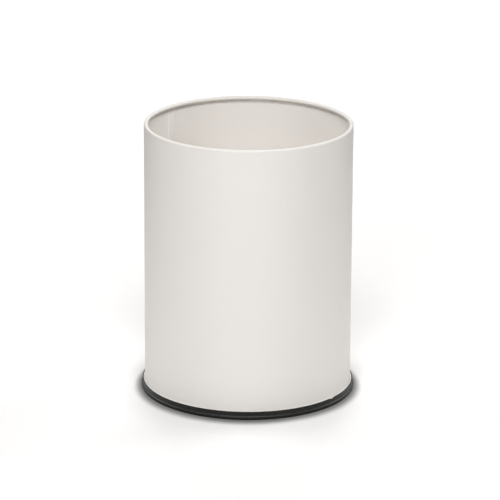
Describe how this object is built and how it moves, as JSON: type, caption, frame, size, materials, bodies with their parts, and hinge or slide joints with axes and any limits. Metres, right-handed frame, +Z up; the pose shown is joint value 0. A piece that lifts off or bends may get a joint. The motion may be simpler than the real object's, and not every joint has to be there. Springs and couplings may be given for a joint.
{
  "type": "round wastebasket",
  "caption": "Straight round office wastebasket: white enamelled sheet-steel shell with an inward curled rim, folded-in steel base and a black soft ring as the foot.",
  "frame": {"origin": "on the floor, on the bin's own axis, under the middle of the foot ring", "axes": "+Z up the bin's axis, towards the open rim; -Y is the front"},
  "size_m": [0.2478, 0.2478, 0.317],
  "materials": {
    "white_enamel": "satin warm white powder coat on sheet steel",
    "base_enamel": "satin warm white powder coat on sheet steel, slightly rougher on the base",
    "black_pvc": "black soft PVC extrusion, low sheen"
  },
  "bodies": {
    "root": {"body_shell": "white_enamel", "base_plate": "base_enamel", "base_ring": "black_pvc"}
  },
  "joints": []
}
